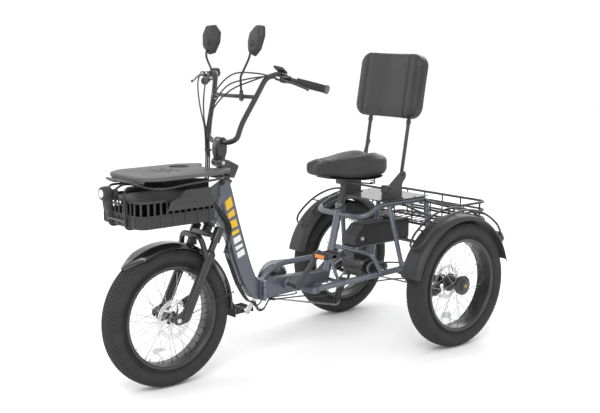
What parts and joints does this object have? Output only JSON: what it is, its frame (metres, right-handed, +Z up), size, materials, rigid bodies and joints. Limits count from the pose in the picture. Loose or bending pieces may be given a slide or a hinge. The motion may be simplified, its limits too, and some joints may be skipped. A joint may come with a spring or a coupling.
{
  "type": "adult tricycle",
  "caption": "Folding electric tricycle for adults with fat tyres, a lidded front basket, a padded saddle with a backrest and a wire basket behind the deck.",
  "frame": {"origin": "centre of the base of the whole tricycle, on the ground", "axes": "+Z up, front wheel towards -Y, the rider's left is +X; the rear axle runs along X"},
  "size_m": [0.903, 1.9359, 1.4578],
  "materials": {
    "black_paint": "satin black paint",
    "black_plastic": "moulded black plastic",
    "deck": "glossy grey plate",
    "frame_paint": "satin blue-grey paint",
    "grey_plastic": "satin dark grey plastic",
    "rubber": "black rubber",
    "silver": "bright aluminium",
    "steel": "plain steel",
    "tyre_rubber": "dark grey block-tread rubber",
    "vinyl": "black grained upholstery"
  },
  "bodies": {
    "rear_frame": {"rear_frame": "frame_paint", "deck_plate": "deck", "axle_housing_left": "black_paint", "axle_housing_right": "black_paint", "battery_case": "black_plastic", "motor_housing": "black_paint", "drive_chain": "steel", "output_chain": "steel", "derailleur": "black_paint", "cargo_basket": "black_paint", "fender_left": "black_plastic", "fender_right": "black_plastic", "fender_rail_left": "black_paint", "fender_rail_right": "black_paint", "backrest_brackets": "frame_paint", "rear_cables": "rubber"},
    "seat": {"seat_post": "steel", "saddle": "vinyl"},
    "backrest": {"backrest_posts": "black_paint", "backrest_pad": "vinyl"},
    "recline_lever": {"recline_lever": "black_paint"},
    "jackshaft": {"jackshaft": "steel"},
    "axle_carrier": {"axle_carrier": "steel"},
    "crank": {"crankset": "silver", "chainring": "black_paint"},
    "left_pedal": {"pedal_left": "black_plastic"},
    "right_pedal": {"pedal_right": "black_plastic"},
    "front_frame": {"front_frame": "frame_paint", "rack_rails": "black_paint", "basket_tub": "black_plastic", "headlamp": "black_plastic", "frame_cables": "rubber"},
    "basket_lid": {"basket_lid": "grey_plastic"},
    "fold_latch": {"fold_latch": "black_paint"},
    "steering": {"fork_crown": "black_paint", "stem_block": "black_paint"},
    "stem": {"stem_riser": "black_paint", "handlebar": "black_paint", "grip_left": "rubber", "grip_right": "rubber", "controls_left": "black_plastic", "controls_right": "black_plastic", "bar_cables": "rubber"},
    "left_lever": {"brake_lever_left": "black_paint"},
    "right_lever": {"brake_lever_right": "black_paint"},
    "throttle": {"throttle_lever": "black_plastic"},
    "left_mirror": {"mirror_left": "black_plastic"},
    "right_mirror": {"mirror_right": "black_plastic"},
    "fork": {"fork_lowers": "black_paint", "front_fender": "black_plastic", "front_axle": "steel"},
    "front_wheel": {"front_tyre": "tyre_rubber", "front_rim": "black_paint", "front_hub": "black_paint"},
    "left_wheel": {"left_tyre": "tyre_rubber", "left_rim": "black_paint", "left_hub": "black_paint"},
    "right_wheel": {"right_tyre": "tyre_rubber", "right_rim": "black_paint", "right_hub": "black_paint"}
  },
  "joints": [
    {"name": "frame_fold", "type": "hinge", "parent": "rear_frame", "child": "front_frame", "pos_m": [0.049, -0.209, 0.33], "axis": [0, 0, 1], "range_deg": [0, 115]},
    {"name": "fold_latch", "type": "hinge", "parent": "front_frame", "child": "fold_latch", "pos_m": [-0.046, -0.209, 0.33], "axis": [0, 0, 1], "range_deg": [0, 80]},
    {"name": "lid_hinge", "type": "hinge", "parent": "front_frame", "child": "basket_lid", "pos_m": [0, -0.429, 0.88], "axis": [-1, 0, 0], "range_deg": [0, 42]},
    {"name": "steering", "type": "hinge", "parent": "front_frame", "child": "steering", "pos_m": [0, -0.47, 0.63], "axis": [0, 0.4509, 0.8926], "range_deg": [-40, 40]},
    {"name": "stem_tilt", "type": "hinge", "parent": "steering", "child": "stem", "pos_m": [0, -0.40718, 0.89852], "axis": [1, 0, 0], "range_deg": [-25, 0]},
    {"name": "left_brake_lever", "type": "hinge", "parent": "stem", "child": "left_lever", "pos_m": [0.26782, -0.28191, 1.24426], "axis": [0.1874, 0.0862, 0.9785], "range_deg": [0, 20], "stiffness_Nm_per_rad": 0.6, "springref_deg": -17.19},
    {"name": "right_brake_lever", "type": "hinge", "parent": "stem", "child": "right_lever", "pos_m": [-0.26782, -0.28191, 1.24426], "axis": [0.1874, -0.0862, -0.9785], "range_deg": [0, 20], "stiffness_Nm_per_rad": 0.6, "springref_deg": -17.19},
    {"name": "throttle", "type": "hinge", "parent": "stem", "child": "throttle", "pos_m": [-0.27934, -0.24139, 1.23848], "axis": [-0.889, 0.4089, -0.2063], "range_deg": [0, 30], "stiffness_Nm_per_rad": 0.06, "springref_deg": -22.92},
    {"name": "left_mirror_swivel", "type": "hinge", "parent": "stem", "child": "left_mirror", "pos_m": [0.092, -0.357, 1.186], "axis": [0, 0, 1], "range_deg": [-30, 30]},
    {"name": "right_mirror_swivel", "type": "hinge", "parent": "stem", "child": "right_mirror", "pos_m": [-0.092, -0.357, 1.186], "axis": [0, 0, 1], "range_deg": [-30, 30]},
    {"name": "fork_travel", "type": "slide", "parent": "steering", "child": "fork", "axis": [0, 0.4509, 0.8926], "range_m": [0, 0.04], "stiffness_N_per_m": 12000, "springref_m": -0.02},
    {"name": "front_wheel_spin", "type": "hinge", "parent": "fork", "child": "front_wheel", "pos_m": [0, -0.678, 0.29], "axis": [1, 0, 0], "continuous": true},
    {"name": "left_wheel_spin", "type": "hinge", "parent": "rear_frame", "child": "left_wheel", "pos_m": [0.388, 0.633, 0.29], "axis": [1, 0, 0], "continuous": true},
    {"name": "right_wheel_spin", "type": "hinge", "parent": "rear_frame", "child": "right_wheel", "pos_m": [-0.388, 0.633, 0.29], "axis": [1, 0, 0], "continuous": true},
    {"name": "crank_spin", "type": "hinge", "parent": "rear_frame", "child": "crank", "pos_m": [0, -0.07, 0.335], "axis": [1, 0, 0], "continuous": true},
    {"name": "left_pedal_spin", "type": "hinge", "parent": "crank", "child": "left_pedal", "pos_m": [0.117, 0.03894, 0.47196], "axis": [1, 0, 0], "continuous": true},
    {"name": "right_pedal_spin", "type": "hinge", "parent": "crank", "child": "right_pedal", "pos_m": [-0.117, -0.17894, 0.19804], "axis": [1, 0, 0], "continuous": true},
    {"name": "jackshaft_spin", "type": "hinge", "parent": "rear_frame", "child": "jackshaft", "pos_m": [0, 0.378, 0.35], "axis": [1, 0, 0], "continuous": true},
    {"name": "axle_carrier_spin", "type": "hinge", "parent": "rear_frame", "child": "axle_carrier", "pos_m": [0, 0.633, 0.29], "axis": [1, 0, 0], "continuous": true},
    {"name": "seat_height", "type": "slide", "parent": "rear_frame", "child": "seat", "axis": [0, 0.2531, 0.9674], "range_m": [0, 0.12]},
    {"name": "backrest_tilt", "type": "hinge", "parent": "rear_frame", "child": "backrest", "pos_m": [0, 0.539, 0.774], "axis": [1, 0, 0], "range_deg": [-20, 5]},
    {"name": "recline_lever", "type": "hinge", "parent": "rear_frame", "child": "recline_lever", "pos_m": [-0.147, 0.539, 0.774], "axis": [-1, 0, 0], "range_deg": [0, 20], "stiffness_Nm_per_rad": 0.5, "springref_deg": -17.19}
  ],
  "couplings": [
    {"joint": "jackshaft_spin", "follows": "crank_spin", "ratio": 2.625},
    {"joint": "axle_carrier_spin", "follows": "crank_spin", "ratio": 1.5312}
  ]
}
